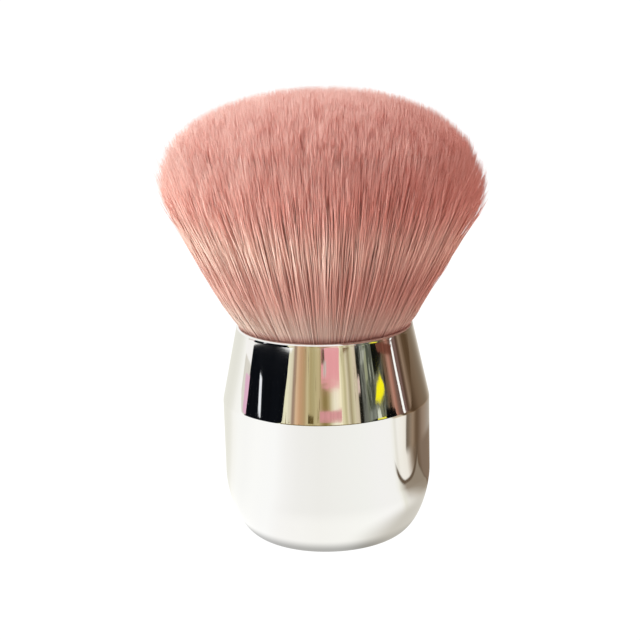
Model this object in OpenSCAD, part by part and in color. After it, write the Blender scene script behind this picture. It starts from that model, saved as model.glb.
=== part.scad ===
// Short weighted brush with a flared, domed head of fine filaments.
// Millimetres. +Z points up through the head. The origin is the centre of the flat foot.

/* [Handle] */
// Radius of the upright wall, the widest part of the handle
body_r = 18.5; // [16.5:0.1:22]
// Height of the soft crease between the upright wall and the tapered neck
crease_h = 24.5; // [23:0.1:28]
// Radius that softens the crease
crease_round = 2.5; // [0.5:0.1:4]
// Height of the rim above the foot
rim_h = 38; // [37:0.1:44]
// Outer radius of the neck just below the rim
rim_r = 15.7; // [15:0.1:16.4]
// Thickness of the wall at the rim, which is rounded over
lip_t = 0.9; // [0.6:0.05:1.2]
// Radius of the flat face that the brush stands on
foot_flat_r = 13.6; // [11:0.1:15]
// Height of the rounded corner above the foot
foot_rise = 11; // [6:0.1:14]
// Roundness of that corner, where 2 is an ellipse and lower is flatter
foot_roundness = 1.7; // [1.4:0.05:2.4]
// Thickness of the floor under the weight
floor_t = 2.6; // [1.5:0.1:4]

/* [Weight] */
// Radius of the steel slug
weight_r = 12.2; // [9:0.1:12.8]
// Height of the steel slug
weight_h = 9; // [5:0.1:13]
// Chamfer on the edges of the slug
weight_chamfer = 0.6; // [0.2:0.1:1.2]
// Clearance between the slug and its pocket
weight_gap = 0.2; // [0.1:0.05:0.4]
// Thickness of the set adhesive over the slug
weight_glue_t = 1.5; // [0.5:0.1:3]

/* [Ferrule] */
// Depth of the ferrule's socket below the rim
socket_depth = 16.5; // [14:0.1:18]
// Wall of the aluminium ferrule
ferrule_wall = 0.5; // [0.3:0.05:0.8]
// Distance of the ferrule's upper edge below the rim
ferrule_drop = 1.2; // [0.8:0.1:1.6]
// Width of the inturned flange under the bundle
flange_w = 2; // [1:0.1:4]
// Glue gap between the ferrule and its socket
glue_gap = 0.2; // [0.1:0.05:0.3]
// Height of the glue line above the floor of the socket
glue_h = 12; // [6:0.1:12.5]

/* [Bonded root] */
// Distance of the top of the bonded root below the rim
root_drop = 1.8; // [1.7:0.1:2.6]
// Thickness of the slice of bonded root that carries the strands
root_slice_t = 2.2; // [1:0.1:3]
// Height of the binding band above the underside of the resin
thread_rise = 4; // [2:0.1:5]
// Thickness of the binding thread
thread_d = 0.6; // [0.3:0.05:1]
// Turns of thread side by side in the band
thread_turns = 6; // [3:1:9]

/* [Head] */
// Overall height of the brush
head_top = 79; // [72:0.5:88]
// Radius of the head at its widest
head_r = 28.2; // [24:0.1:32]
// Height at which the head is widest
widest_h = 63.6; // [58:0.1:66]
// Squareness of the dome, where 2 is an ellipse
dome_power = 2.15; // [1.8:0.05:2.6]
// How far the strands bow outwards between the root and the tip
bow = 0.4; // [0:0.05:0.6]
// Gap between the outermost strands and the ferrule's wall at the root
root_margin = 0.6; // [0.5:0.05:1]
// Rings of strands in the head, which holds 6 x rings x rings strands
strand_rings = 7; // [6:1:8]
// Turn of the outermost ring of strands against the middle, in degrees
ring_turn = 22; // [0:1:24]
// Width of a strand at its root, as a share of its cell
strand_fill = 0.72; // [0.5:0.01:0.8]
// Width of a strand at its middle against its root
mid_growth = 1.45; // [1:0.05:1.5]
// Width of a strand at its shoulder against its root
shoulder_growth = 1.55; // [0.8:0.05:1.6]
// Largest shortfall of a strand's tip below the dome
tip_scatter = 1.2; // [0:0.1:2]
// Largest sideways lean of a strand at its tip
tip_lean = 0.4; // [0:0.05:0.45]

/* [Hidden] */
$fn = 96;

// Places that follow from the sizes above
bore_r = rim_r - lip_t;
socket_z = rim_h - socket_depth;
pocket_r = weight_r + weight_gap;
ferrule_r = bore_r - glue_gap;
bundle_r = ferrule_r - ferrule_wall;
ferrule_top = rim_h - ferrule_drop;
resin_z = socket_z + ferrule_wall;
root_top = rim_h - root_drop;
resin_top = root_top - root_slice_t;
thread_z = resin_z + thread_rise;
thread_top = thread_z + thread_turns * thread_d;
strand_root_r = bundle_r - root_margin;

// Steps of the rounded outlines
corner_steps = 14;
crease_steps = 2;
lip_steps = 4;

// Handle outline: the corner above the foot is a quarter of a superellipse
function corner_point(i) =
    let (a = 90 * i / corner_steps)
    let (reach = pow(sin(a), 2 / foot_roundness))
    let (rise = pow(cos(a), 2 / foot_roundness))
    [foot_flat_r + (body_r - foot_flat_r) * reach, foot_rise * (1 - rise)];

// The neck leans in by this angle, and the crease is an arc tangent to the wall and the neck
neck_lean = atan2(body_r - rim_r, rim_h - crease_h);
crease_run = crease_round * tan(neck_lean / 2);
function crease_point(i) =
    let (a = neck_lean * i / crease_steps)
    [body_r - crease_round * (1 - cos(a)), crease_h - crease_run + crease_round * sin(a)];

// The rim is a half round as thick as the wall there
lip_r = lip_t / 2;
function lip_point(i) =
    let (a = 180 * i / lip_steps)
    [bore_r + lip_r + lip_r * cos(a), rim_h - lip_r + lip_r * sin(a)];

module handle_shell() {
    outside = [
        for (i = [0:corner_steps]) corner_point(i),
        for (i = [0:crease_steps]) crease_point(i),
        for (i = [0:lip_steps]) lip_point(i)
    ];
    inside = [
        [bore_r, socket_z],
        [pocket_r, socket_z],
        [pocket_r, floor_t],
        [0, floor_t],
        [0, 0]
    ];
    color("silver")
        rotate_extrude() polygon(concat(outside, inside));
}

module counterweight() {
    c = weight_chamfer;
    color("slategray")
        translate([0, 0, floor_t])
            rotate_extrude() polygon([
                [0, 0],
                [weight_r - c, 0],
                [weight_r, c],
                [weight_r, weight_h - c],
                [weight_r - c, weight_h],
                [0, weight_h]
            ]);
}

module weight_adhesive() {
    color("wheat")
        translate([0, 0, floor_t + weight_h])
            cylinder(r = pocket_r, h = weight_glue_t);
}

module ferrule_cup() {
    color("gainsboro")
        rotate_extrude() polygon([
            [bundle_r - flange_w, socket_z],
            [ferrule_r, socket_z],
            [ferrule_r, ferrule_top],
            [bundle_r, ferrule_top],
            [bundle_r, resin_z],
            [bundle_r - flange_w, resin_z]
        ]);
}

module ferrule_adhesive() {
    color("khaki")
        translate([0, 0, socket_z])
            rotate_extrude()
                translate([ferrule_r, 0]) square([glue_gap, glue_h]);
}

module root_resin() {
    color("rosybrown")
        rotate_extrude() polygon([
            [0, resin_z],
            [bundle_r, resin_z],
            [bundle_r, thread_z],
            [bundle_r - thread_d, thread_z],
            [bundle_r - thread_d, thread_top],
            [bundle_r, thread_top],
            [bundle_r, resin_top],
            [0, resin_top]
        ]);
}

module binding_thread() {
    color("ivory")
        translate([0, 0, thread_z])
            rotate_extrude()
                translate([bundle_r - thread_d, 0]) square([thread_d, thread_top - thread_z]);
}

// Head of strands: the bonded root's upper face is a disc of triangular cells in rings, and a
// three-sided strand grows from the middle of each cell. Every strand keeps its own share of the
// radius all the way up, so neighbours fan out and never cross.

rim_points = 6 * strand_rings;
// Share of the radius at the middle of an outermost cell
outer_share = 1 - 1 / (3 * strand_rings);

// Corner j of ring k of the cells, and its place in the list of points
function cell_corner(k, j) =
    let (r = strand_root_r * k / strand_rings)
    let (a = k == 0 ? 0 : 60 * j / k + ring_turn * k / strand_rings)
    [r * cos(a), r * sin(a), root_top];
function corner_index(k, j) = k == 0 ? 0 : 1 + 3 * k * (k - 1) + j % (6 * k);

// Corners of every cell, anticlockwise from above: those with their base outwards, then inwards
cells = [
    for (k = [1:strand_rings], s = [0:5], i = [0:k - 1])
        [[k - 1, s * (k - 1) + i], [k, s * k + i], [k, s * k + i + 1]],
    for (k = [2:strand_rings], s = [0:5], i = [0:k - 2])
        [[k - 1, s * (k - 1) + i], [k, s * k + i + 1], [k - 1, s * (k - 1) + i + 1]]
];
strand_count = len(cells);
scatter_seed = 11;
tip_shortfall = rands(0, tip_scatter, strand_count, scatter_seed);
lean_seed = 5;
lean_angle = rands(0, 360, strand_count, lean_seed);

// Height of the dome over a share of the widest radius
function dome_z(share) =
    widest_h + (head_top - widest_h) * pow(1 - pow(min(share, 1), dome_power), 1 / dome_power);

// Middle of strand n at t, 0 at the root and 1 at the tip, for the cell's middle m
function strand_middle(n, m, t) =
    let (share = norm([m.x, m.y]) / strand_root_r)
    let (tip_z = dome_z(share / outer_share) - tip_shortfall[n])
    let (spread = t + bow * t * (1 - t))
    let (root_r = strand_root_r * share)
    let (tip_r = head_r * share / outer_share)
    let (r = root_r + (tip_r - root_r) * spread)
    let (a = atan2(m.y, m.x))
    let (lean = tip_lean * t)
    [
        r * cos(a) + lean * cos(lean_angle[n]),
        r * sin(a) + lean * sin(lean_angle[n]),
        root_top + (tip_z - root_top) * t
    ];

// A strand has three triangles, at its root, middle and shoulder, and one point at its tip
strand_rows = [[0, 1], [0.5, mid_growth], [0.92, shoulder_growth]];
points_per_strand = 3 * len(strand_rows) + 1;
function strand_points(n) =
    let (c = [for (p = cells[n]) cell_corner(p[0], p[1])])
    let (m = (c[0] + c[1] + c[2]) / 3)
    [
        for (row = strand_rows, p = c)
            strand_middle(n, m, row[0]) + (p - m) * strand_fill * row[1],
        strand_middle(n, m, 1)
    ];

function circle_points(r, z) =
    [for (j = [0:rim_points - 1]) [r * cos(360 * j / rim_points), r * sin(360 * j / rim_points), z]];

// Two triangles for the four-sided face a, b, c, d
function quad(a, b, c, d) = [[a, b, c], [a, c, d]];

// Faces between two loops of n points that start at indices low and high, facing outwards
function band(low, high, n) = [
    for (j = [0:n - 1])
        let (k = (j + 1) % n)
        each quad(low + j, high + j, high + k, low + k)
];

module bristle_tuft() {
    corner_count = 1 + 3 * strand_rings * (strand_rings + 1);
    shoulder_at = corner_count;
    base_at = shoulder_at + rim_points;
    centre_at = base_at + rim_points;
    strands_at = centre_at + 1;
    points = [
        [0, 0, root_top],
        for (k = [1:strand_rings], j = [0:6 * k - 1]) cell_corner(k, j),
        each circle_points(bundle_r, root_top),
        each circle_points(bundle_r, resin_top),
        [0, 0, resin_top],
        for (n = [0:strand_count - 1]) each strand_points(n)
    ];
    root_faces = [
        each band(shoulder_at, corner_index(strand_rings, 0), rim_points),
        each band(base_at, shoulder_at, rim_points),
        for (j = [0:rim_points - 1]) [centre_at, base_at + j, base_at + (j + 1) % rim_points]
    ];
    strand_faces = [
        for (n = [0:strand_count - 1])
            let (c = [for (p = cells[n]) corner_index(p[0], p[1])])
            let (s = strands_at + n * points_per_strand)
            each [
                for (e = [0:2])
                    let (f = (e + 1) % 3)
                    each quad(c[e], s + e, s + f, c[f]),
                for (row = [0:len(strand_rows) - 2]) each band(s + 3 * row, s + 3 * row + 3, 3),
                for (e = [0:2]) [s + points_per_strand - 4 + e, s + points_per_strand - 1,
                    s + points_per_strand - 4 + (e + 1) % 3]
            ]
    ];
    color("lightpink")
        polyhedron(points = points, faces = concat(root_faces, strand_faces), convexity = 10);
}

handle_shell();
counterweight();
weight_adhesive();
ferrule_cup();
ferrule_adhesive();
root_resin();
binding_thread();
bristle_tuft();
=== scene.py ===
import math

import bpy
import numpy as np
from mathutils import Matrix, Vector


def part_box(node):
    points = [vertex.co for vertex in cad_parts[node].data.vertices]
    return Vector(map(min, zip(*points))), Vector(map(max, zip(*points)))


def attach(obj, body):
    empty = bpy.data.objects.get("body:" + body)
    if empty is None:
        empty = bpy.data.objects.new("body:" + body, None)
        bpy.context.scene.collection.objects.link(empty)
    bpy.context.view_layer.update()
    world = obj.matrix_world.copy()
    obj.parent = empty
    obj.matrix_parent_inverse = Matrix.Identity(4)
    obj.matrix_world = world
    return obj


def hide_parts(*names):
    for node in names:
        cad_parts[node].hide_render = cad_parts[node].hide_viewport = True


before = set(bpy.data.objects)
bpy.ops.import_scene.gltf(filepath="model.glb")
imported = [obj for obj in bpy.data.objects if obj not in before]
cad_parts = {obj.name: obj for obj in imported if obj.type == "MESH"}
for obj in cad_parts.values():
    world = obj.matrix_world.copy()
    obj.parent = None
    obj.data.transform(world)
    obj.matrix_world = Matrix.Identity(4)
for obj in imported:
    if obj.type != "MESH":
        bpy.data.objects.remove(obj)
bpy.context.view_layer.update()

bl_info = {
    "name": "Kabuki makeup brush",
    "version": (1, 0, 0),
    "blender": (4, 5, 0),
    "location": "View3D > Sidebar > Brush",
    "description": "Mirror-plated handle and a flared head of fine filaments, built round the packed model",
    "category": "Add Mesh",
}

MM = 0.001
HANDLE_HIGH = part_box("handle_shell")[1]
TUFT_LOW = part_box("bristle_tuft")[0]
WEIGHT_LOW, WEIGHT_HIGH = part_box("counterweight")

# Filaments: seed of the random draws, radians between two points of the spiral, sides of a tube, width of a
# side and height of the base in the UV map, and the points along a filament as shares of its modelled length
SEED = 20
GOLDEN_TURN = 2.399963
TUBE_SIDES = 3
UV_WIDTH, UV_BASE = 0.002, 0.004
FLANK_ROWS = (0.0, 0.08, 0.2, 0.34, 0.5, 0.68, 0.86, 1.0)
CROWN_ROWS = (0.0, 0.42, 0.78, 1.0)

# Stage, in metres, and the camera's sensor in millimetres
TABLE_RADIUS, TABLE_SIDES = 6.0, 96
WALL_RADIUS, CARD_RADIUS, FLECK_RADIUS = 0.9, 0.46, 0.4586
CLIP_NEAR, CLIP_FAR = 0.01, 20.0
SENSOR_WIDTH = 36.0


# Settings

def length(name, description, default, low=0.0, high=0.2):
    """A size property, in metres."""
    return bpy.props.FloatProperty(
        name=name, description=description, default=default, min=low, max=high, unit="LENGTH", precision=5)


def share(name, description, default, low=0.0, high=1.0):
    """A property without a unit, by default from 0 to 1."""
    return bpy.props.FloatProperty(
        name=name, description=description, default=default, min=low, max=high, precision=3)


def colour(name, description, default):
    """A colour property, in linear light."""
    return bpy.props.FloatVectorProperty(
        name=name, description=description, default=default, size=3, min=0.0, max=1.0, subtype="COLOR")


def number(name, description, default, low=1, high=200000):
    """A whole number property."""
    return bpy.props.IntProperty(name=name, description=description, default=default, min=low, max=high)


def angle(name, description, default):
    """An angle property, whose default is given in degrees."""
    return bpy.props.FloatProperty(
        name=name, description=description, default=math.radians(default), subtype="ANGLE", unit="ROTATION")


class HandleSettings(bpy.types.PropertyGroup):
    body_radius: length("Body radius", "Radius of the upright wall", HANDLE_HIGH.x)
    crease_height: length("Crease height", "Height of the crease between wall and neck", 24.5 * MM)
    crease_radius: length("Crease radius", "Radius that softens the crease", 2.5 * MM)
    rim_height: length("Rim height", "Height of the rim above the foot", HANDLE_HIGH.z)
    rim_radius: length("Rim radius", "Outer radius of the neck just below the rim", 15.7 * MM)
    lip: length("Lip", "Thickness of the rounded rim", 0.9 * MM)
    foot_radius: length("Foot radius", "Radius of the flat face that the brush stands on", 13.6 * MM)
    foot_rise: length("Foot rise", "Height of the rounded corner above the foot", 11 * MM)
    foot_roundness: share("Foot roundness", "2 is an ellipse and lower is flatter", 1.7, 1.0, 3.0)
    socket_depth: length("Socket depth", "Depth of the ferrule's socket below the rim", 16.5 * MM)
    floor: length("Floor", "Thickness of the floor under the weight", WEIGHT_LOW.z)
    pocket_radius: length("Pocket radius", "Radius of the pocket round the weight", WEIGHT_HIGH.x + 0.2 * MM)
    step: length("Step", "Spacing of the outline's points", 0.35 * MM, 0.1 * MM)
    turns: number("Divisions", "Divisions round the handle", 216, 24, 512)
    plating: colour("Plating", "Reflection of the bright plating, face on", (0.80, 0.798, 0.79))
    haze: share("Haze", "Roughness of the polished plating", 0.03)
    ripple: length("Ripple", "Height of the slow waviness of the plating", 0.06 * MM)


class InnerSettings(bpy.types.PropertyGroup):
    steel: colour("Steel", "Colour of the turned steel weight", (0.42, 0.42, 0.43))
    adhesive: colour("Adhesive", "Colour of the set adhesive", (0.62, 0.55, 0.38))
    ferrule: colour("Ferrule", "Colour of the drawn aluminium ferrule", (0.78, 0.78, 0.79))
    resin: colour("Resin", "Colour of the resin that bonds the filaments", (0.34, 0.16, 0.13))
    thread: colour("Thread", "Colour of the binding thread", (0.72, 0.66, 0.55))


class HeadSettings(bpy.types.PropertyGroup):
    root_height: length("Root height", "Height at which the filaments leave the bonded root", 36.2 * MM)
    root_base: length("Root base", "Underside of the slice of bonded root in the head", TUFT_LOW.z)
    root_radius: length("Root radius", "Radius of the bundle where it leaves the root", 13.75 * MM)
    widest_height: length("Widest height", "Height at which the head is widest", 63.6 * MM)
    head_radius: length("Head radius", "Radius of the head at its widest", 28.7 * MM)
    top: length("Top", "Height of the top of the dome", 79.9 * MM)
    squareness: share("Squareness", "Squareness of the dome, where 2 is an ellipse", 2.15, 1.5, 3.0)
    bow: share("Bow", "How far the filaments bow outwards on their way up", 0.42)
    count: number("Filaments", "Filaments in the whole head", 86000)
    flank_share: share("Flank share", "Share of the radius beyond which filaments are whole", 0.88)
    thickness: length("Thickness", "Diameter of a filament at its middle", 0.12 * MM, 0.01 * MM)
    tip_thickness: length("Tip thickness", "Diameter of a filament near its tip", 0.03 * MM, 0.005 * MM)
    crown_depth: length("Crown depth", "Modelled length of the crown filaments", 8 * MM)
    roof_drop: length("Roof drop", "Depth of the packed middle below the dome", 3.4 * MM)
    scatter: length("Scatter", "Usual shortfall of a filament's tip below the dome", 1.4 * MM)
    fine_locks: number("Fine locks", "Fine locks that the filaments gather into near the root", 8000)
    locks: number("Locks", "Locks that the filaments gather into higher up", 3000)
    tufts: number("Tufts", "Broad tufts that the locks gather into", 330)
    fine_pull: share("Fine pull", "How far filaments draw in to the middle of their fine lock", 0.05)
    lock_pull: share("Lock pull", "How far filaments draw in to the middle of their lock", 0.2)
    tuft_pull: share("Tuft pull", "How far filaments draw in to the middle of their tuft", 0.12)
    slump: length("Slump", "How much lower the dome's right shoulder has settled", 2.2 * MM)
    swell: length("Swell", "How much wider the head has spread on its right", 0.8 * MM)
    tuck: length("Tuck", "How much narrower the head is on its left", 0.9 * MM)
    tuft_rise: length("Tuft rise", "How unevenly the tufts stand out of the dome", 0.06 * MM)
    strays: share("Strays", "Share of the filaments that stand apart", 0.006)
    wander: length("Wander", "Sideways wander of a whole lock", 0.17 * MM)
    sway: length("Sway", "Sideways wander of one filament", 0.09 * MM)
    sheen: share("Sheen", "Pale bloom of the filaments where they are seen edge on", 0.04)
    root_colour: colour("Root colour", "Pale colour of the filaments near the rim", (0.74, 0.46, 0.39))
    low_colour: colour("Low colour", "Filament colour a third of the way up", (0.77, 0.36, 0.30))
    middle_colour: colour("Middle colour", "Light rose above the filaments' middle", (0.88, 0.50, 0.42))
    upper_colour: colour("Upper colour", "Deeper rose a little below the tips", (0.83, 0.345, 0.29))
    tip_colour: colour("Tip colour", "Light pink of the filaments at their tips", (0.92, 0.47, 0.42))
    # Painted shade: the dark rose where the filaments leave the rim stands in for the rim's shade on them.
    root_shade_colour: colour("Deep colour", "Dark rose where the filaments leave the rim", (0.44, 0.16, 0.13))


class StageSettings(bpy.types.PropertyGroup):
    camera_distance: length(
        "Camera distance", "Distance from the aim point to the camera", 240.42 * MM, 0.05, 5.0)
    camera_elevation: angle("Camera elevation", "Angle of the camera above the horizon", 14.356)
    aim_height: length("Aim height", "Height that the camera looks at", 35.6 * MM)
    pan: angle("Pan", "Small turn of the camera about its own up axis", 0.187)
    tilt: angle("Tilt", "Small turn of the camera about its own right axis", 0.633)
    roll: angle("Roll", "Small turn of the camera about its line of sight", 1.423)
    lens: share("Lens", "Focal length in millimetres on a 36 mm sensor", 75.84, 10.0, 300.0)
    key: share("Key", "Strength of the broad light from the left", 8.2, 0.0, 20.0)
    key_colour: colour("Key colour", "Colour of the broad light from the left", (0.62, 0.98, 1.0))
    fill: share("Fill", "Strength of the weak warm light from the front right", 1.1, 0.0, 20.0)
    fill_colour: colour("Fill colour", "Colour of the weak light from the front right", (1.0, 0.80, 0.73))
    edge: share("Edge", "Strength of the cool light along the left edge", 3.8, 0.0, 20.0)
    edge_colour: colour("Edge colour", "Colour of the light along the left edge", (0.43, 1.0, 1.0))
    top: share("Top", "Strength of the weak light from above", 0.5, 0.0, 20.0)
    sky: share("Sky", "Strength of the even light from all round", 0.61, 0.0, 5.0)
    sky_colour: colour("Sky colour", "Colour of the even light from all round", (1.0, 0.84, 0.79))
    table_glow: share("Table glow", "Brightness of the table and of the backdrop behind it", 1.1, 0.0, 5.0)
    card_glow: share("Card glow", "Brightness of what only the plating sees", 1.25, 0.0, 5.0)
    table_colour: colour("Table colour", "Colour of the table", (0.98, 0.98, 0.98))
    bounce_colour: colour("Bounce colour", "Colour of what the table throws back", (0.80, 0.72, 0.69))
    wall_colour: colour("Wall colour", "Colour of the studio walls in the plating", (0.90, 0.885, 0.86))


# Shader maths

class Field:
    """A shader socket. An expression on single values adds its Math nodes; node() makes any other node."""

    def __init__(self, tree, socket=None):
        self.tree, self.socket = tree, socket

    def node(self, kind, settings=None, inputs=None, output=0):
        """A node of a type, with its settings, then the values or links of its sockets; gives one output."""
        made = self.tree.nodes.new(kind)
        settings = dict(settings or {})
        stops = settings.pop("stops", None)
        for key, value in settings.items():
            setattr(made, key, value)
        if stops:
            elements = made.color_ramp.elements
            while len(elements) < len(stops):
                elements.new(0.5)
            for element, (place, shade) in zip(elements, stops):
                element.position, element.color = place, (*shade, 1.0)
        for key, value in (inputs or {}).items():
            socket = made.inputs[key]
            if isinstance(value, Field):
                self.tree.links.new(value.socket, socket)
            else:
                socket.default_value = value
        return Field(self.tree, made.outputs[output] if len(made.outputs) else None)

    def math(self, operation, *terms, clamp=False):
        settings = {"operation": operation, "use_clamp": clamp}
        return self.node("ShaderNodeMath", settings, dict(enumerate(terms)))

    def __add__(self, other):
        return self.math("ADD", self, other)

    def __radd__(self, other):
        return self.math("ADD", other, self)

    def __sub__(self, other):
        return self.math("SUBTRACT", self, other)

    def __rsub__(self, other):
        return self.math("SUBTRACT", other, self)

    def __mul__(self, other):
        return self.math("MULTIPLY", self, other)

    def __rmul__(self, other):
        return self.math("MULTIPLY", other, self)

    def __truediv__(self, other):
        return self.math("DIVIDE", self, other)

    def __pow__(self, other):
        return self.math("POWER", self, other)

    def clamped(self):
        return self.math("ADD", self, 0.0, clamp=True)

    def step(self, low, high):
        """0 below low, 1 above high, and smooth between them."""
        return self.node("ShaderNodeMapRange", {"interpolation_type": "SMOOTHSTEP"},
                         {"Value": self, "From Min": low, "From Max": high})

    def mix(self, first, second):
        """The colour first where this value is 0, and second where it is 1."""
        sockets = {0: self, 6: first, 7: second}
        return self.node("ShaderNodeMix", {"data_type": "RGBA"}, sockets, output=2)


def rgba(shade, level=1.0):
    """A colour's four values, with the first three so many times as bright, up to 1."""
    return (*(min(1.0, c * level) for c in shade), 1.0)


def empty_tree(owner):
    """The field that adds nodes to a new material or world."""
    owner.use_nodes = True
    owner.node_tree.nodes.clear()
    return Field(owner.node_tree)


def material(name, finish):
    """A node material. finish(field) gives the Principled sockets' values or links."""
    made = bpy.data.materials.new(name)
    field = empty_tree(made)
    surface = field.node("ShaderNodeBsdfPrincipled", {}, finish(field))
    field.node("ShaderNodeOutputMaterial", {}, {"Surface": surface})
    return made


def object_place(field):
    """The place on the piece, in metres."""
    return field.node("ShaderNodeTexCoord", output=3)


def scaled(field, vector, factor):
    """A colour or a place times a factor, which is three numbers or one Field for all three."""
    if isinstance(factor, Field):
        factor = field.node("ShaderNodeCombineXYZ", {}, {0: factor, 1: factor, 2: factor})
    return field.node("ShaderNodeVectorMath", {"operation": "MULTIPLY"}, {0: vector, 1: factor})


def noise(field, place, scale, detail=2.0, stretch=None):
    """Noise at so many waves a unit of the place. A stretch below 1 draws it out along that axis."""
    if stretch:
        place = scaled(field, place, stretch)
    return field.node("ShaderNodeTexNoise", {}, {"Vector": place, "Scale": scale, "Detail": detail})


def split(field, place):
    """The x, y and z of a place."""
    return [field.node("ShaderNodeSeparateXYZ", {}, {0: place}, output=axis) for axis in range(3)]


def bump(field, height, distance):
    """A normal from a height, where 1 stands for so many metres."""
    return field.node("ShaderNodeBump", {}, {"Height": height, "Distance": distance, "Strength": 1.0})


# Meshes

def new_piece(name, points, faces, material_made, smooth=True, uv=None, sharp=None):
    """A mesh piece from points (n, 3) and a list of face arrays, each (m, corners). uv has a row for each
    corner, and edges that turn by more than sharp are left hard."""
    mesh = bpy.data.meshes.new(name)
    points = np.asarray(points, np.float32)
    corners = np.concatenate([f.ravel() for f in faces]).astype(np.int32)
    sizes = np.concatenate([np.full(len(f), f.shape[1]) for f in faces])
    starts = np.concatenate([[0], np.cumsum(sizes)[:-1]]).astype(np.int32)
    mesh.vertices.add(len(points))
    mesh.vertices.foreach_set("co", points.ravel())
    mesh.loops.add(len(corners))
    mesh.loops.foreach_set("vertex_index", corners)
    mesh.polygons.add(len(starts))
    mesh.polygons.foreach_set("loop_start", starts)
    mesh.polygons.foreach_set("use_smooth", np.full(len(starts), smooth))
    if uv is not None:
        layer = mesh.uv_layers.new(name="OFBake")
        layer.data.foreach_set("uv", np.asarray(uv, np.float32).ravel())
    mesh.update(calc_edges=True)
    if mesh.validate():
        raise RuntimeError(f"{name} was made with faulty faces")
    if sharp is not None:
        mesh.set_sharp_from_angle(angle=sharp)
    mesh.materials.append(material_made)
    made = bpy.data.objects.new(name, mesh)
    bpy.context.scene.collection.objects.link(made)
    return made


def grid_faces(rows, columns, first=0):
    """Quads between neighbouring rows of a grid whose columns close into a ring. They face outwards where
    rows go up and columns anticlockwise. The grid's first point has the index first."""
    row, column = np.meshgrid(np.arange(rows - 1), np.arange(columns), indexing="ij")
    beside = (column + 1) % columns
    corners = [row * columns + column, row * columns + beside,
               (row + 1) * columns + beside, (row + 1) * columns + column]
    return first + np.stack(corners, axis=-1).reshape(-1, 4)


def lathe(name, outline, divisions, material_made, sharp=None):
    """A closed turned piece. outline is (n, 2) of radius and height from the lower pole to the upper one or
    round to it again, both on the axis: point (r, z) at turn a is (r cos a, r sin a, z)."""
    ring = np.asarray(outline[1:-1])
    a = np.linspace(0, 2 * np.pi, divisions, endpoint=False)
    radius, height = ring[:, :1], ring[:, 1:2]
    points = np.stack([radius * np.cos(a), radius * np.sin(a), height * np.ones_like(a)], axis=-1)
    rows = len(ring)
    points = np.concatenate([points.reshape(-1, 3), [[0, 0, outline[0][1]], [0, 0, outline[-1][1]]]])
    column = np.arange(divisions)
    beside = (column + 1) % divisions
    low, high = rows * divisions, rows * divisions + 1
    last = (rows - 1) * divisions
    caps = np.concatenate([
        np.stack([beside, column, np.full(divisions, low)], axis=1),
        np.stack([last + column, last + beside, np.full(divisions, high)], axis=1)])
    return new_piece(name, points, [grid_faces(rows, divisions), caps], material_made, sharp=sharp)


def spaced(outline, step):
    """The same outline with more points, none further apart than step."""
    out = [np.asarray(outline[:1], float)]
    for a, b in zip(outline[:-1], outline[1:]):
        parts = max(1, math.ceil(math.dist(a, b) / step))
        t = np.arange(1, parts + 1)[:, None] / parts
        out.append(np.asarray(a) + (np.asarray(b) - np.asarray(a)) * t)
    return np.concatenate(out)


# Handle

def shell_outline(h):
    """Radius and height round the handle's wall, from the foot's middle up the outside and back down inside.
    The corner above the foot is r = foot + (body - foot) sin(a)^(2/n), z = rise (1 - cos(a)^(2/n)), with n
    the foot's roundness. The crease is an arc tangent to wall and neck, and the rim is a half round as thick
    as the lip."""
    power = 2 / h.foot_roundness
    a = np.radians(np.linspace(0, 90, 61))
    corner = np.stack([h.foot_radius + (h.body_radius - h.foot_radius) * np.sin(a) ** power,
                       h.foot_rise * (1 - np.abs(np.cos(a)) ** power)], axis=1)
    lean = math.atan2(h.body_radius - h.rim_radius, h.rim_height - h.crease_height)
    run = h.crease_radius * math.tan(lean / 2)
    b = np.linspace(0, lean, 9)
    crease = np.stack([h.body_radius - h.crease_radius * (1 - np.cos(b)),
                       h.crease_height - run + h.crease_radius * np.sin(b)], axis=1)
    bore, r = h.rim_radius - h.lip, h.lip / 2
    c = np.radians(np.linspace(0, 180, 13))
    lip = np.stack([bore + r + r * np.cos(c), h.rim_height - r + r * np.sin(c)], axis=1)
    socket = h.rim_height - h.socket_depth
    outside = spaced(np.concatenate([corner, crease, lip]), h.step)
    flat_step = 4 * MM
    inside = spaced([(bore, socket), (h.pocket_radius, socket), (h.pocket_radius, h.floor), (0.0, h.floor)],
                    flat_step)
    foot = spaced([(0.0, 0.0), (h.foot_radius, 0.0)], flat_step)
    return np.concatenate([foot[:-1], outside, inside])


def plating(h):
    """Bright plating on a moulded body: a mirror with a slow ripple, faint wiped smears, and fine scratches
    where it is handled and stood down."""
    def finish(field):
        place = object_place(field)
        z = split(field, place)[2]
        smear = noise(field, place, 55.0, 3.0, (1.0, 1.0, 0.35)).step(0.45, 0.75)
        scratch = noise(field, place, 2400.0, 2.0, (1.0, 1.0, 0.06)).step(0.62, 0.72)
        foot = 1 - z.step(0.2 * MM, 2.5 * MM)
        edge = z.step(h.rim_height - 1.0 * MM, h.rim_height)
        worn = (foot + edge * 0.5).clamped()
        ripple = noise(field, place, 85.0, 1.0)
        fine = noise(field, place, 330.0, 2.0)
        return {
            "Base Color": rgba(h.plating),
            "Metallic": 1.0,
            "Roughness": h.haze + smear * 0.02 + scratch * worn * 0.12 + worn * 0.02,
            "Normal": bump(field, ripple + fine * 0.03, h.ripple),
        }
    return material("bright_plating", finish)


# Enclosed pieces

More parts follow.
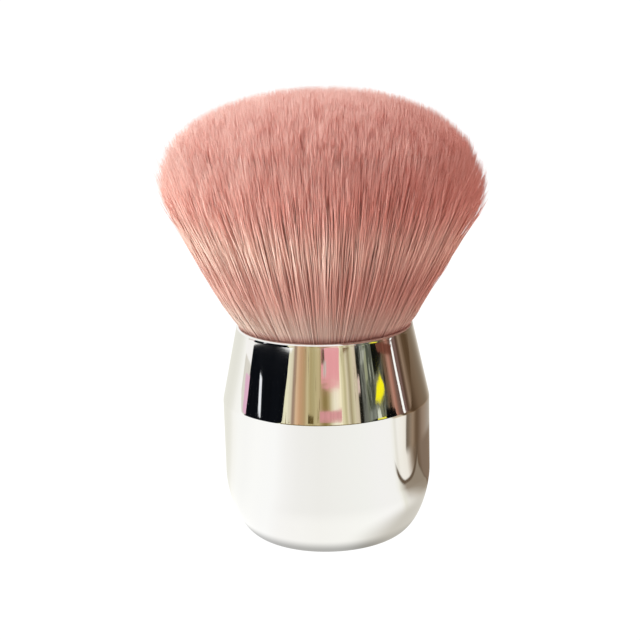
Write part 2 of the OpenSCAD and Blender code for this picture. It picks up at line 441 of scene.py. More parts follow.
def turned_steel(s):
    """Steel turned on a lathe: fine rings on the faces and a little uneven tint."""
    def finish(field):
        place = object_place(field)
        x, y, z = split(field, place)
        radius = (x * x + y * y) ** 0.5
        rings = field.node("ShaderNodeTexNoise", {"noise_dimensions": "1D"},
                           {"W": radius * 9000.0 + z * 9000.0, "Scale": 1.0, "Detail": 2.0})
        tint = noise(field, place, 220.0, 3.0)
        return {"Base Color": tint.mix(rgba(s.steel, 0.82), rgba(s.steel)), "Metallic": 1.0,
                "Roughness": 0.3 + rings * 0.2, "Normal": bump(field, rings, 0.01 * MM)}
    return material("turned_steel", finish)


def set_adhesive(s):
    """Set adhesive: slightly cloudy, with small bubbles and a skin that has sunk unevenly. The colour is
    darker in the bubbles' pits, as painted shade.
    """
    def finish(field):
        place = object_place(field)
        cloud = noise(field, place, 180.0, 4.0)
        bubble = field.node("ShaderNodeTexVoronoi", {}, {"Vector": place, "Scale": 1300.0})
        pit = bubble.step(0.05, 0.22)
        # Painted shade: the colour darkens in the bubbles' pits, where the bump is low.
        body = (cloud * 0.7 + pit * 0.3).mix(rgba(s.adhesive, 0.7), rgba(s.adhesive))
        return {"Base Color": body, "Roughness": 0.32 + cloud * 0.2,
                "Normal": bump(field, pit * 0.5 + cloud * 0.5, 0.06 * MM)}
    return material("set_adhesive_finish", finish)


def drawn_aluminium(s):
    """Drawn aluminium: fine lines along the drawing direction."""
    def finish(field):
        place = object_place(field)
        lines = noise(field, place, 4200.0, 2.0, (1.0, 1.0, 0.02))
        tint = noise(field, place, 260.0, 2.0)
        return {"Base Color": tint.mix(rgba(s.ferrule, 0.9), rgba(s.ferrule)), "Metallic": 1.0,
                "Roughness": 0.25 + lines * 0.25, "Normal": bump(field, lines, 0.008 * MM)}
    return material("drawn_aluminium", finish)


def bonded_resin(s):
    """Resin full of filament ends: a dark ground flecked with paler ends."""
    def finish(field):
        place = object_place(field)
        ends = field.node("ShaderNodeTexVoronoi", {}, {"Vector": place, "Scale": 7000.0})
        fleck = 1 - ends.step(0.2, 0.45)
        cloud = noise(field, place, 300.0, 3.0)
        body = (fleck * 0.5 + cloud * 0.2).mix(rgba(s.resin), rgba(s.resin, 1.9))
        return {"Base Color": body, "Roughness": 0.22 + cloud * 0.25,
                "Normal": bump(field, fleck, 0.02 * MM)}
    return material("bonded_resin", finish)


def binding_cord(s):
    """Thread wound side by side: one rounded ridge for each turn, with the twist of the thread across it. The
    colour is darker down in the grooves between turns and twists, as painted shade.
    """
    def finish(field):
        place = object_place(field)
        x, y, z = split(field, place)
        around = field.math("ARCTAN2", y, x)
        first_turn, pitch = 26.0 * MM, 0.6 * MM
        ridge = field.math("ABSOLUTE", field.math("SINE", (z - first_turn) * (math.pi / pitch)))
        twist = field.math("SINE", around * 150.0 + z * 9000.0) * 0.5 + 0.5
        height = ridge * 0.8 + twist * 0.2
        # Painted shade: the thread's colour darkens with the height, down in the grooves between turns.
        return {"Base Color": (height * 0.8 + 0.2).mix(rgba(s.thread, 0.5), rgba(s.thread)),
                "Roughness": 0.7 + twist * 0.2, "Normal": bump(field, height, 0.12 * MM)}
    return material("binding_thread_finish", finish)


# Head

def dome_height(s, share_out):
    """Height of the dome over a share of the radius: widest + (top - widest) (1 - share^n)^(1/n)."""
    n = s.squareness
    inside = 1 - np.clip(share_out, 0, 1) ** n
    return s.widest_height + (s.top - s.widest_height) * inside ** (1 / n)


def spread(s, t):
    """Radius of the bundle's outside at t, 0 at the root and 1 at the tips:
    root + (head - root) (t + bow t (1 - t) (1 + 0.35 t))."""
    return s.root_radius + (s.head_radius - s.root_radius) * (t + s.bow * t * (1 - t) * (1 + 0.35 * t))


def even_disc_points(random, count):
    """Points in the unit disc on a sunflower spiral, r = sqrt((k + 0.5) / count) at k golden turns. Each is
    moved a little, and none crowd."""
    k = np.arange(count)
    radius, turn = np.sqrt((k + 0.5) / count), k * GOLDEN_TURN
    points = np.stack([radius * np.cos(turn), radius * np.sin(turn)], axis=1)
    points += random.normal(0, 0.6 / math.sqrt(count), (count, 2))
    return points / np.maximum(np.hypot(*points.T), 1.0)[:, None]


def nearest(points, guides, batch=2000):
    """Index of the nearest guide of each point, worked out so many points at a time."""
    found = []
    for start in range(0, len(points), batch):
        part = points[start:start + batch]
        away = (part ** 2).sum(1)[:, None] - 2 * part @ guides.T + (guides ** 2).sum(1)
        found.append(away.argmin(1))
    return np.concatenate(found)


def smooth(t, low, high):
    """0 below low, 1 above high, smooth between."""
    x = np.clip((t - low) / (high - low), 0, 1)
    return x * x * (3 - 2 * x)


class Head:
    """Every filament's place in the bundle, its locks and tuft, its tint and where its tip ends."""

    def __init__(self, s):
        self.s = s
        random = np.random.default_rng(SEED)
        n = s.count
        self.place = even_disc_points(random, n)
        self.out = np.hypot(*self.place.T)
        fine, locks, tufts = (even_disc_points(random, k) for k in (s.fine_locks, s.locks, s.tufts))
        in_fine, in_lock, in_tuft = (nearest(self.place, guides) for guides in (fine, locks, tufts))
        self.fine, self.lock, self.tuft = fine[in_fine], locks[in_lock], tufts[in_tuft]
        uneven_tints = ((0.06, s.fine_locks, in_fine), (0.12, s.locks, in_lock), (0.13, s.tufts, in_tuft))
        tints = [random.normal(0, usual, k)[chosen] for usual, k, chosen in uneven_tints]
        self.tint = np.clip(0.5 + random.normal(0, 0.15, n) + sum(tints), 0.03, 0.97)
        self.lock_sink = random.random(s.locks)[in_lock]
        self.lock_turns = random.uniform(0, 2 * np.pi, (s.locks, 2))[in_lock]
        self.pull = random.uniform(0.15, 1.25, n)
        outer = smooth(self.out, 0.9, 1.0)
        short = random.exponential(1.0, n) * (1 + 1.2 * outer) + random.exponential(0.25, s.locks)[in_lock]
        facing_right = np.clip(self.place[:, 0] / (self.out + 1e-6), 0, 1)
        self.tip = dome_height(s, self.out) - s.slump * facing_right ** 2 * self.out ** 4
        self.tip += random.normal(0, s.tuft_rise, s.tufts)[in_tuft]
        self.left = np.clip(-self.place[:, 0], 0, 1) ** 2
        self.right = np.clip(self.place[:, 0], 0, 1) ** 2
        self.end = 1 - np.clip(short * s.scatter / (self.tip - s.root_height), 0, 0.3)
        self.phase = random.uniform(0, 2 * np.pi, (n, 2))
        self.waves = random.uniform(0.6, 1.6, (n, 2))
        self.lean = random.normal(0, 0.45 * MM, (n, 2)) * (1 + 2.2 * (random.random((n, 1)) < s.strays))
        self.spin = random.uniform(0, 2 * np.pi, n)
        self.girth = random.uniform(0.8, 1.2, n)

    def paths(self, pick, t):
        """Points of the picked filaments at t (n, rows). A filament keeps its place q in the unit disc, drawn
        towards a fine lock low down and towards a lock and tuft higher up: (x, y) = q(t) (1 - depth(t))
        (spread(t) + swell(t) on the right - tuck(t) on the left) + wander + sway + lean t^3, and
        z = root + (tip - root) t."""
        s = self.s
        place = self.place[pick][:, None, :]
        pull = self.pull[pick][:, None]
        low = smooth(t, 0.0, 0.14) * (1 - smooth(t, 0.3, 0.6)) * pull
        high = smooth(t, 0.2, 0.5) * (1 - 0.35 * smooth(t, 0.7, 1.0)) * pull
        for guide, gather in ((self.fine, s.fine_pull * low), (self.lock, s.lock_pull * high),
                              (self.tuft, s.tuft_pull * high)):
            place = place + (guide[pick][:, None, :] - self.place[pick][:, None, :]) * gather[..., None]
        depth = 0.012 * self.lock_sink[pick][:, None] * smooth(t, 0.2, 0.5) * (1 - smooth(t, 0.7, 1.0))
        up = smooth(t, 0.82, 0.92) * (1 - smooth(t, 0.92, 1.0))
        down = smooth(t, 0.1, 0.3) * (1 - smooth(t, 0.65, 0.85))
        swell = s.swell * self.right[pick][:, None] * (up - 1.3 * down)
        tuck = s.tuck * self.left[pick][:, None] * smooth(t, 0.1, 0.55) * (1 - smooth(t, 0.6, 0.95))
        flat = place * ((1 - depth) * (spread(s, t) + swell - tuck))[..., None]
        free = smooth(t, 0.12, 0.6)[..., None]
        turns = self.lock_turns[pick][:, None, :]
        wander = np.sin(t[..., None] * 2 * np.pi * 1.3 + turns) * s.wander
        wave = np.sin(t[..., None] * 2 * np.pi * self.waves[pick][:, None, :] + self.phase[pick][:, None, :])
        flat = flat + (wander + wave * s.sway) * free + self.lean[pick][:, None, :] * (t[..., None] ** 3)
        z = s.root_height + (self.tip[pick][:, None] - s.root_height) * t
        return np.concatenate([flat, z[..., None]], axis=-1)

    def radii(self, pick, t):
        """Half the thickness at t: three quarters at the root, full higher up, and fine at the tip."""
        s = self.s
        taper = smooth(t, self.end[pick][:, None] - 0.17, self.end[pick][:, None])
        width = s.thickness * (0.75 + 0.3 * smooth(t, 0.1, 0.7))
        width = width + (s.tip_thickness - width) * taper
        return width * self.girth[pick][:, None] / 2


def filament_mesh(name, head, pick, t, material_made):
    """Filaments as closed three-sided tubes. Corner j of a row is path + radius (cos a e1 + sin a e2), with
    a = spin + 2 pi j / 3, where e1 and e2 are square to the path, and the last row is one point. The UV map
    holds a filament's tint in u and the place along it in v."""
    sides = TUBE_SIDES
    paths, radii = head.paths(pick, t), head.radii(pick, t)
    count, rows = t.shape
    along = np.gradient(paths, axis=1)
    along /= np.linalg.norm(along, axis=2, keepdims=True)
    outward = paths * (1, 1, 0) + (1e-6, 0, 0)
    first = outward - (outward * along).sum(2, keepdims=True) * along
    first /= np.linalg.norm(first, axis=2, keepdims=True)
    second = np.cross(along, first)
    a = head.spin[pick][:, None, None] + 2 * np.pi * np.arange(sides) / sides
    ring = np.cos(a)[..., None] * first[:, :-1, None] + np.sin(a)[..., None] * second[:, :-1, None]
    ring = paths[:, :-1, None] + ring * radii[:, :-1, None, None]
    points = np.concatenate([ring.reshape(count, -1, 3), paths[:, -1:]], axis=1)
    each = points.shape[1]
    start = (np.arange(count) * each)[:, None, None]
    body = start + grid_faces(rows - 1, sides)[None]
    side, tip_ring = np.arange(sides), (rows - 2) * sides
    tip_corners = [tip_ring + side, tip_ring + (side + 1) % sides, np.full(sides, each - 1)]
    tips = start + np.stack(tip_corners, axis=1)[None]
    base = start + np.array([[[2, 1, 0]]])
    u = head.tint[pick][:, None, None]
    k, j = np.repeat(np.arange(rows - 2), sides), np.tile(side, rows - 2)
    body_u = u + UV_WIDTH * np.stack([j, j + 1, j + 1, j], axis=1)[None]
    body_v = np.stack([t[:, k], t[:, k], t[:, k + 1], t[:, k + 1]], axis=2)
    tip_u = u + UV_WIDTH * np.stack([side, side + 1, side + 0.5], axis=1)[None]
    tip_v = np.stack([t[:, -2:-1], t[:, -2:-1], t[:, -1:]], axis=2) * np.ones((1, sides, 1))
    base_u = u + UV_WIDTH * np.array([[[0, sides, sides / 2]]])
    base_v = t[:, :1, None] + np.array([[[0, 0, UV_BASE]]])
    maps = ((body_u, body_v), (tip_u, tip_v), (base_u, base_v))
    uv = np.concatenate([np.stack(pair, axis=-1).reshape(-1, 2) for pair in maps])
    faces = [body.reshape(-1, 4), tips.reshape(-1, 3), base.reshape(-1, 3)]
    return new_piece(name, points.reshape(-1, 3), faces, material_made, uv=uv)


def filament_finish(s):
    """Dyed synthetic filament: pale near the rim, rose a third of the way up, lighter above its middle, deep
    rose below its tip and light pink at the tip. Each has a tint of its own. Just above the rim it is painted
    dark rose, as painted shade."""
    def finish(field):
        place = field.node("ShaderNodeUVMap", {"uv_map": "OFBake"})
        u, v = split(field, place)[:2]
        streak = noise(field, place, 1.0, 2.0, (60.0, 5.0, 1.0))
        tint = ((u * 0.85 + streak * 0.3 - 0.575) * (v * 1.4 + 0.12) + 0.5).clamped()
        body = v.step(0.12, 0.36).mix(rgba(s.root_colour), rgba(s.low_colour))
        body = v.step(0.42, 0.62).mix(body, rgba(s.middle_colour))
        body = v.step(0.64, 0.88).mix(body, rgba(s.upper_colour))
        body = v.step(0.91, 1.01).mix(body, rgba(s.tip_colour))
        dark = scaled(field, body, (0.84, 0.70, 0.68))
        light = field.node("ShaderNodeVectorMath", {"operation": "ADD"}, {0: body, 1: (0.06, 0.07, 0.065)})
        shade = tint.mix(dark, light)
        # Painted shade: the filaments turn dark rose just above the rim, where the rim shades them.
        shade = v.step(0.05, 0.12).mix(rgba(s.root_shade_colour), shade)
        return {"Base Color": shade, "Roughness": 0.5 + streak * 0.2, "Specular IOR Level": 0.08,
                "Sheen Weight": s.sheen, "Sheen Roughness": 0.4}
    return material("dyed_filament", finish)


def core_finish(s):
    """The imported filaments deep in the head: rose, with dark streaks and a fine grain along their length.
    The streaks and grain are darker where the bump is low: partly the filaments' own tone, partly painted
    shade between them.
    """
    def finish(field):
        place = object_place(field)
        streak = noise(field, place, 2600.0, 2.0, (1.0, 1.0, 0.03))
        patch = noise(field, place, 240.0, 2.0, (1.0, 1.0, 0.3))
        grain = noise(field, place, 5200.0, 1.0, (1.0, 1.0, 0.03))
        pattern = streak * 0.4 + patch * 0.2 + grain.step(0.35, 0.65) * 0.4
        # Partly painted shade: the colour darkens with the bump's low places, between the filaments.
        return {"Base Color": pattern.mix(rgba(s.middle_colour, 0.62), rgba(s.middle_colour, 1.1)),
                "Roughness": 0.8, "Normal": bump(field, streak + grain, 0.1 * MM)}
    return material("packed_filament", finish)


def core_outline(s):
    """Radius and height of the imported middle: the bonded root's slice, then the bundle at 0.92 of its radius
    low down and 0.86 higher up, to where it meets the roof. The roof lies below the dome by
    drop (1 + 1.4 share^4), so deeper towards its edge."""
    low_share, high_share, edge_share, edge_drop = 0.92, 0.86, 0.97, 1.4
    t = np.linspace(0, 1, 60)
    inner = low_share - 0.06 * smooth(t, 0.3, 0.8)
    tip = dome_height(s, high_share)
    flank = np.stack([inner * spread(s, t), s.root_height + (tip - s.root_height) * t], axis=1)
    roof_share = np.linspace(1, 0, 40) * edge_share
    dome = dome_height(s, roof_share)
    roof_z = dome - s.roof_drop * (1 + edge_drop * roof_share ** 4)
    roof_t = (roof_z - s.root_height) / (dome - s.root_height)
    roof = np.stack([roof_share * spread(s, roof_t), roof_z], axis=1)
    limit = np.interp(flank[:, 0], roof[::-1, 0], roof[::-1, 1])
    flank = flank[flank[:, 1] < limit]
    roof = roof[roof[:, 0] < flank[-1, 0] - 0.2 * MM]
    roof[-1, 0] = 0.0
    foot = [(0.0, s.root_base), (s.root_radius, s.root_base), (s.root_radius, s.root_height - 0.3 * MM)]
    return np.concatenate([foot, flank, roof])


# Stage

def glow(name, finish):
    """A glowing finish for a studio card, which lights nothing. finish(field) gives a colour, an opacity or
    None for opaque, and a strength."""
    made = bpy.data.materials.new(name)
    field = empty_tree(made)
    shade, opacity, strength = finish(field)
    lit = field.node("ShaderNodeEmission", {}, {"Color": shade, "Strength": strength})
    if opacity is not None:
        clear = field.node("ShaderNodeBsdfTransparent")
        lit = field.node("ShaderNodeMixShader", {}, {0: opacity, 1: clear, 2: lit})
    field.node("ShaderNodeOutputMaterial", {}, {"Surface": lit})
    made.cycles.emission_sampling = "NONE"
    return made


def linear(*shade):
    """Linear light from a display colour in 0 to 255."""
    c = np.array(shade) / 255
    return tuple(float(v) for v in np.where(c > 0.04045, ((c + 0.055) / 1.055) ** 2.4, c / 12.92))


def display(*shade):
    """A display colour in 0 to 255 as the four values of a colour socket."""
    return rgba(linear(*shade))


def turn_of(field, x, y):
    """Degrees round the axis of a place: 0 faces the camera, 90 is to its right."""
    return field.math("ARCTAN2", x, -1.0 * y) * (180 / math.pi)


def bands(field, value, stops):
    """A colour from a list of (value, display colour) stops."""
    low, high = stops[0][0], stops[-1][0]
    placed = [((at - low) / (high - low), linear(*shade)) for at, shade in stops]
    return field.node("ShaderNodeValToRGB", {"stops": placed}, {"Fac": (value - low) * (1 / (high - low))})


def mottled(paint, depth, strength):
    """A card's finish: a plain colour, or bands round the object, broken by upright streaks."""
    def finish(field):
        place = object_place(field)
        x, y = split(field, place)[:2]
        streak = noise(field, place, 42.0, 3.0, (1.0, 1.0, 0.22))
        shade = bands(field, turn_of(field, x, y), paint) if isinstance(paint, list) else linear(*paint)
        vary = streak.step(0.3, 0.7) * (depth * 1.6) + (1 - depth)
        return scaled(field, shade, vary), None, strength
    return finish


def flecked(shade, scale, share_clear):
    """A card's finish: flecks of one colour, clear between them."""
    def finish(field):
        fleck = noise(field, object_place(field), scale, 3.0, (1.0, 1.0, 0.5))
        return display(*shade), fleck.step(share_clear, share_clear + 0.06), 1.0
    return finish


def seen_only(card, *kinds):
    """Shows a card to these kinds of rays only."""
    for kind in ("camera", "diffuse", "glossy", "transmission", "volume_scatter", "shadow"):
        setattr(card, "visible_" + kind, kind in kinds)


def rim_limit(turn):
    """Height on the cards that the plating shows just below the rim: 109 mm - 0.0074 mm (turn + 2)^2."""
    return 0.109 - 7.4e-6 * (turn + 2) ** 2


def wall_card(name, radius, low_turn, high_turn, low, high, finish):
    """A card curved round the object: (R sin a, -R cos a, z). a runs between two turns in degrees, given for
    the lower and for the upper edge, where 0 faces the camera. z runs from low to high, each given for the
    card's two ends, or where high is None to just above what shows at the rim."""
    columns = max(2, int(abs(low_turn[1] - low_turn[0]) / 3) + 2)
    u, v = np.meshgrid(np.linspace(0, 1, columns), np.linspace(0, 1, 4), indexing="ij")
    a = [turn[0] + (turn[1] - turn[0]) * u for turn in (low_turn, high_turn)]
    a = a[0] + (a[1] - a[0]) * v
    base = low[0] + (low[1] - low[0]) * u
    top = high[0] + (high[1] - high[0]) * u if high else np.maximum(rim_limit(a) + 0.0015, base + 0.001)
    z = base + (top - base) * v
    a = np.radians(a)
    points = np.stack([radius * np.sin(a), -radius * np.cos(a), z], axis=-1).reshape(-1, 3)
    i, j = np.meshgrid(np.arange(columns - 1), np.arange(3), indexing="ij")
    k = (i * 4 + j).ravel()
    faces = [np.stack([k, k + 4, k + 5, k + 1], axis=1)]
    seen_only(new_piece(name, points, faces, glow(name, finish), smooth=False), "glossy")


# The bands are pairs of a turn in degrees, or a distance in millimetres, and a display colour. These colours
# and those of the cards were read from the reflection in the photograph.
LEFT_BANDS = [
    (-60, (200, 196, 164)), (-46, (224, 220, 188)), (-42.5, (226, 220, 192)), (-40, (220, 210, 182)),
    (-37.3, (152, 128, 110)), (-35.5, (168, 142, 118)), (-33.5, (210, 178, 144)), (-30, (196, 156, 120)),
    (-26.5, (180, 146, 108)), (-24, (172, 146, 108)), (-21, (198, 183, 142)), (-18, (168, 152, 108)),
    (-15, (178, 164, 118)), (-11.5, (188, 174, 130)), (-8, (192, 174, 132)), (-5.5, (168, 148, 106)),
    (-3, (140, 121, 75)), (0, (136, 118, 72)), (3, (172, 155, 112)), (6, (218, 208, 174)),
    (9.5, (240, 232, 206)), (13, (236, 226, 200)), (16, (240, 230, 196)), (18.5, (214, 204, 164)),
    (21, (186, 176, 136)),
    (24, (212, 200, 170)), (27, (156, 143, 108)), (30, (206, 197, 162)), (33, (210, 197, 170)),
    (35.5, (198, 184, 158)), (36.3, (24, 23, 16)), (40, (30, 30, 24))]
RIGHT_BANDS = [
    (39.5, (40, 40, 34)), (41, (102, 103, 95)), (45, (110, 111, 100)), (47.5, (112, 116, 92)),
    (50, (78, 82, 70)), (53, (70, 74, 63)), (56, (94, 96, 84)), (60, (118, 119, 103)), (64, (112, 114, 99)),
    (67, (98, 100, 91)), (70, (92, 84, 67)), (73, (106, 84, 64)), (76, (126, 95, 76)), (79, (178, 132, 114)),
    (82, (168, 118, 100)), (84.5, (122, 92, 80)), (87, (104, 80, 70)), (91, (120, 96, 88)),
    (95, (124, 98, 90)), (97.5, (84, 62, 50)), (100, (96, 75, 59)), (103, (144, 121, 101)),
    (106, (130, 108, 88)), (110, (96, 75, 55)), (115, (84, 64, 44)), (120, (88, 68, 48)),
    (127, (106, 87, 67)), (136, (120, 103, 85)), (150, (144, 130, 115)),
    (166, (190, 181, 170)), (180, (240, 238, 233))]
UNDER = (-0.02, -0.02)
WALL_CARDS = (
    # name, turns of the lower edge, turns of the upper edge, low and high at both ends, colour, streaks
    ("left_bands", (-60, 40), (-60, 40), UNDER, None, LEFT_BANDS, 0.1),
    ("right_bands", (39.5, 180), (39.5, 180), UNDER, (0.125, 0.125), RIGHT_BANDS, 0.12),
    ("white_slit", (92.8, 95.9), (87.2, 90.1), UNDER, (0.0535, 0.0515), (255, 254, 250), 0.02),
    ("black_flag", (-99, -57.5), (-99, -43.7), UNDER, None, (12, 14, 18), 0.2),
    ("flag_foot", (-101.5, -97), (-100, -97), UNDER, (0.006, 0.006), (24, 24, 28), 0.2),
    ("flag_slit", (-79.5, -75), (-82.5, -78.5), (0.031, 0.031), (0.048, 0.049), (232, 234, 238), 0.03),
    ("flag_notch", (-66, -42), (-66, -36), (0.0802, 0.0925), None, (252, 252, 250), 0.02),
    ("left_shade", (-110, -98), (-112, -99), (0.0, 0.0), (0.018, 0.030), (216, 212, 202), 0.1),
    ("pink_edge", (-102.5, -96.5), (-106.5, -98), (0.003, 0.006), (0.015, 0.025), (222, 178, 200), 0.08),
    # Painted shadow: a dark band where the cards meet the table.
    ("skirting", (-50, 36), (-50, 36), UNDER, (0.046, 0.046), (124, 108, 70), 0.35),
    ("pink_card", (-5.6, 15), (-5.2, 17), (0.0902, 0.0876), None, (225, 155, 157), 0.04),
    ("pink_mark", (-5.2, -1), (-4.8, -1.6), (0.098, 0.098), (0.1075, 0.1075), (112, 86, 72), 0.4),
    ("pink_chip", (-3.4, 0.4), (-2.4, 0.8), (0.0915, 0.0915), (0.1, 0.1), (206, 184, 176), 0.3),
    ("pink_low", (-7.3, 16), (-7.3, 16.5), (0.0715, 0.0705), (0.0785, 0.077), (208, 146, 146), 0.1),
    ("low_line", (-20, -14), (-20, -14), (0.066, 0.066), (0.0745, 0.0745), (98, 82, 46), 0.3),
    ("brown_oval", (21, 29), (22, 30), (0.1, 0.099), (0.106, 0.104), (112, 84, 52), 0.3),
    ("post_gap", (35.8, 38.6), (35.8, 38.6), (0.0735, 0.0735), (0.081, 0.081), (206, 184, 170), 0.1),
    ("sage_streak", (46, 49.5), (46.5, 50), (0.072, 0.072), (0.088, 0.086), (156, 158, 128), 0.2),
    ("pale_curl", (41.5, 46), (43, 50), (0.084, 0.083), (0.089, 0.087), (170, 172, 158), 0.4),
    ("black_right", (58, 70), (57, 74), (0.067, 0.064), None, (15, 16, 12), 0.3),
    ("dark_low", (50, 80), (52, 79), UNDER, (0.052, 0.026), (36, 38, 34), 0.5),
    ("black_low", (62, 80.5), (67, 79), (0.026, 0.018), (0.0435, 0.0315), (6, 7, 8), 0.2),
    ("glints", (47, 57), (46, 58), (0.0495, 0.046), (0.0585, 0.053), (150, 154, 142), 0.7),
    ("glint", (55.5, 60.5), (56, 59), (0.044, 0.042), (0.052, 0.050), (228, 232, 214), 0.2),
    ("yellow_low", (54.5, 66), (55, 65), (0.034, 0.026), (0.0455, 0.0385), (236, 228, 80), 0.1),
    ("yellow", (60, 68.5), (54.5, 68), (0.0525, 0.0515), (0.0575, 0.057), (248, 236, 30), 0.05),
    ("yellow_top", (54, 68), (59, 65), (0.0565, 0.0560), (0.0625, 0.062), (252, 240, 22), 0.03),
    ("brown_top", (66, 86), (64, 90), (0.0700, 0.0470), None, (112, 66, 52), 0.3),
    ("right_upper", (22, 180), (22, 180), (0.125, 0.125), (1.2, 1.2), (150, 112, 98), 0.1),
)

FLECK_CARDS = (
    # name, turns, low at both ends, colour, waves a metre, share left clear
    ("dark_flecks", (40, 76), (0.02, 0.02), (10, 12, 10), 130.0, 0.56),
    ("pale_flecks", (41, 60), (0.056, 0.050), (196, 200, 180), 150.0, 0.60),
    ("olive_flecks", (-46, 34), UNDER, (120, 96, 58), 90.0, 0.66),
)

# The table as the plating shows it, for table_mirror: painted light, white on the left and greyer in front and
# behind, and in SIDE_BANDS, NEAR_BANDS and INNER_BANDS the brush's painted shadow on the right.
FRONT_BANDS = [
    (-180, (214, 213, 204)), (-133, (224, 223, 214)), (-124, (230, 229, 221)), (-115, (243, 242, 237)),
    (-104, (247, 247, 244)), (-90, (247, 247, 245)), (-76, (250, 250, 248)), (-53, (249, 249, 248)),
    (-40, (243, 242, 240)), (-28, (239, 238, 235)), (-7, (237, 236, 232)), (30, (240, 240, 236)),
    (50, (242, 241, 239)), (65, (242, 241, 238)), (69, (238, 236, 229)), (71, (228, 226, 215)),
    (74, (229, 227, 217)), (78, (235, 232, 225)), (84, (238, 234, 225)), (120, (236, 232, 222)),
    (180, (222, 218, 208))]
SIDE_BANDS = [
    (60, (242, 242, 238)), (80, (238, 234, 225)), (84.5, (232, 226, 215)), (86.5, (112, 100, 86)),
    (89.5, (118, 104, 88)), (93, (138, 121, 103)), (97, (147, 126, 105)), (100, (124, 104, 84)),
    (103, (101, 81, 62)), (107, (101, 82, 64)), (112, (120, 101, 84)), (117, (139, 120, 103)),
    (125, (149, 132, 116)), (133, (154, 141, 128)), (150, (168, 158, 146)), (166, (190, 183, 173)),
    (180, (214, 213, 204))]
NEAR_BANDS = [
    (15, (208, 205, 198)), (24, (210, 207, 200)), (29, (207, 203, 195)), (33.5, (198, 191, 181)),
    (37, (179, 170, 157)), (39.5, (166, 157, 144)), (43, (151, 139, 124)), (50, (143, 130, 114))]
INNER_BANDS = [
    (78, (238, 234, 225)), (84, (234, 229, 219)), (88, (206, 197, 185)), (92, (160, 146, 130)),
    (97, (116, 98, 80)), (104, (104, 85, 67)), (112, (124, 106, 90))]


def table_mirror(field):
    """What the plating shows of the table, by the turn a in degrees and the distance r from the axis in
    millimetres, with painted light and shade on it. Painted light makes it white on the left and a little
    greyer in front. On the right lies the brush's painted shadow, with a rounded end and a dark outline, pale
    on its left and brown on its right. It begins at r = 47.5 + 0.105 (79 - a)^2 below 79 degrees and at
    47.5 + 0.001 (a - 79)^3 above. Nearer in, the shadow's brown fades to white with h = r + 0.42 (a - 77).
    Painted shade darkens the table towards the foot, more so on the right, and painted light brightens a ring
    just beyond it except on the left."""
    x, y = split(field, object_place(field))[:2]
    r = (x * x + y * y) ** 0.5 * 1000.0
    a = turn_of(field, x, y)
    h = r + (a - 77.0) * 0.42
    middle, shape_end = 79.0, 47.5
    front = bands(field, a, FRONT_BANDS)
    below = field.math("MAXIMUM", middle - a, 0.0)
    above = field.math("MINIMUM", field.math("MAXIMUM", a - middle, 0.0), 27.5)
    away = r - shape_end - below * below * 0.105 - above * above * above * 0.001
    slant = below * 0.2 + above * above * 0.003 + 1.0
    gap = field.math("ABSOLUTE", away / slant + 0.3)
    lean = (field.math("MINIMUM", r, 88.0) - 70.0) * 0.2
    shifted = a - lean * r.step(60.0, 66.0) * (1 - r.step(92.0, 100.0))
    round_back = 1 - a.step(130.0, 175.0)
    far = scaled(field, bands(field, shifted, SIDE_BANDS), 1 - r.step(85.0, 150.0) * 0.42 * round_back)
    warm = scaled(field, far, (1.02, 0.91, 0.76))
    far = (r.step(92.0, 105.0) * round_back).mix(far, warm)
    inner = r.step(60.0, 68.0).mix(bands(field, a, INNER_BANDS), far)
    near = bands(field, h, NEAR_BANDS)
    crossing, far_right = r + a * 1.11 - 165.3, a.step(101.0, 104.0)
    shade = (a.step(69.0, 80.0) * h.step(21.0, 34.0) * round_back).mix(front, near)
    beyond = away.step(-0.6, 0.6) * (1 - far_right) + crossing.step(-1.0, 1.5) * far_right
    shade = (beyond * a.step(69.0, 75.0) * round_back).mix(shade, inner)
    outline = (1 - gap.step(0.4, 1.7)) * a.step(67.0, 71.0)
    outline = outline * (1 - r.step(62.0, 68.0)) * (1 - a.step(103.0, 108.0))
    line = (1 - field.math("ABSOLUTE", crossing).step(0.5, 3.0)) * far_right * (1 - r.step(50.0, 54.0)) * 0.5
    shade = field.math("MAXIMUM", outline, line).mix(shade, display(96, 80, 64))
    under = (1 - (r - a * 0.2).step(6.5, 17.0)) * a.step(0.0, 30.0)
    under = under * (1 - a.step(110.0, 150.0)) * (1 - r.step(21.0, 30.0))
    shade = under.mix(shade, display(194, 190, 181))
    # Painted shade darkens the table next to the foot, and painted light brightens a ring just beyond it.
    contact = r.step(14.6, 17.5)
    dim = (1 - contact) * (0.5 - a.step(20.0, 50.0) * (1 - a.step(110.0, 150.0)) * 0.3)
    rise = contact * (1 - r.step(22.0, 32.0)) * a.step(-60.0, -20.0) * 0.07
    return scaled(field, shade, 1 - dim + rise)


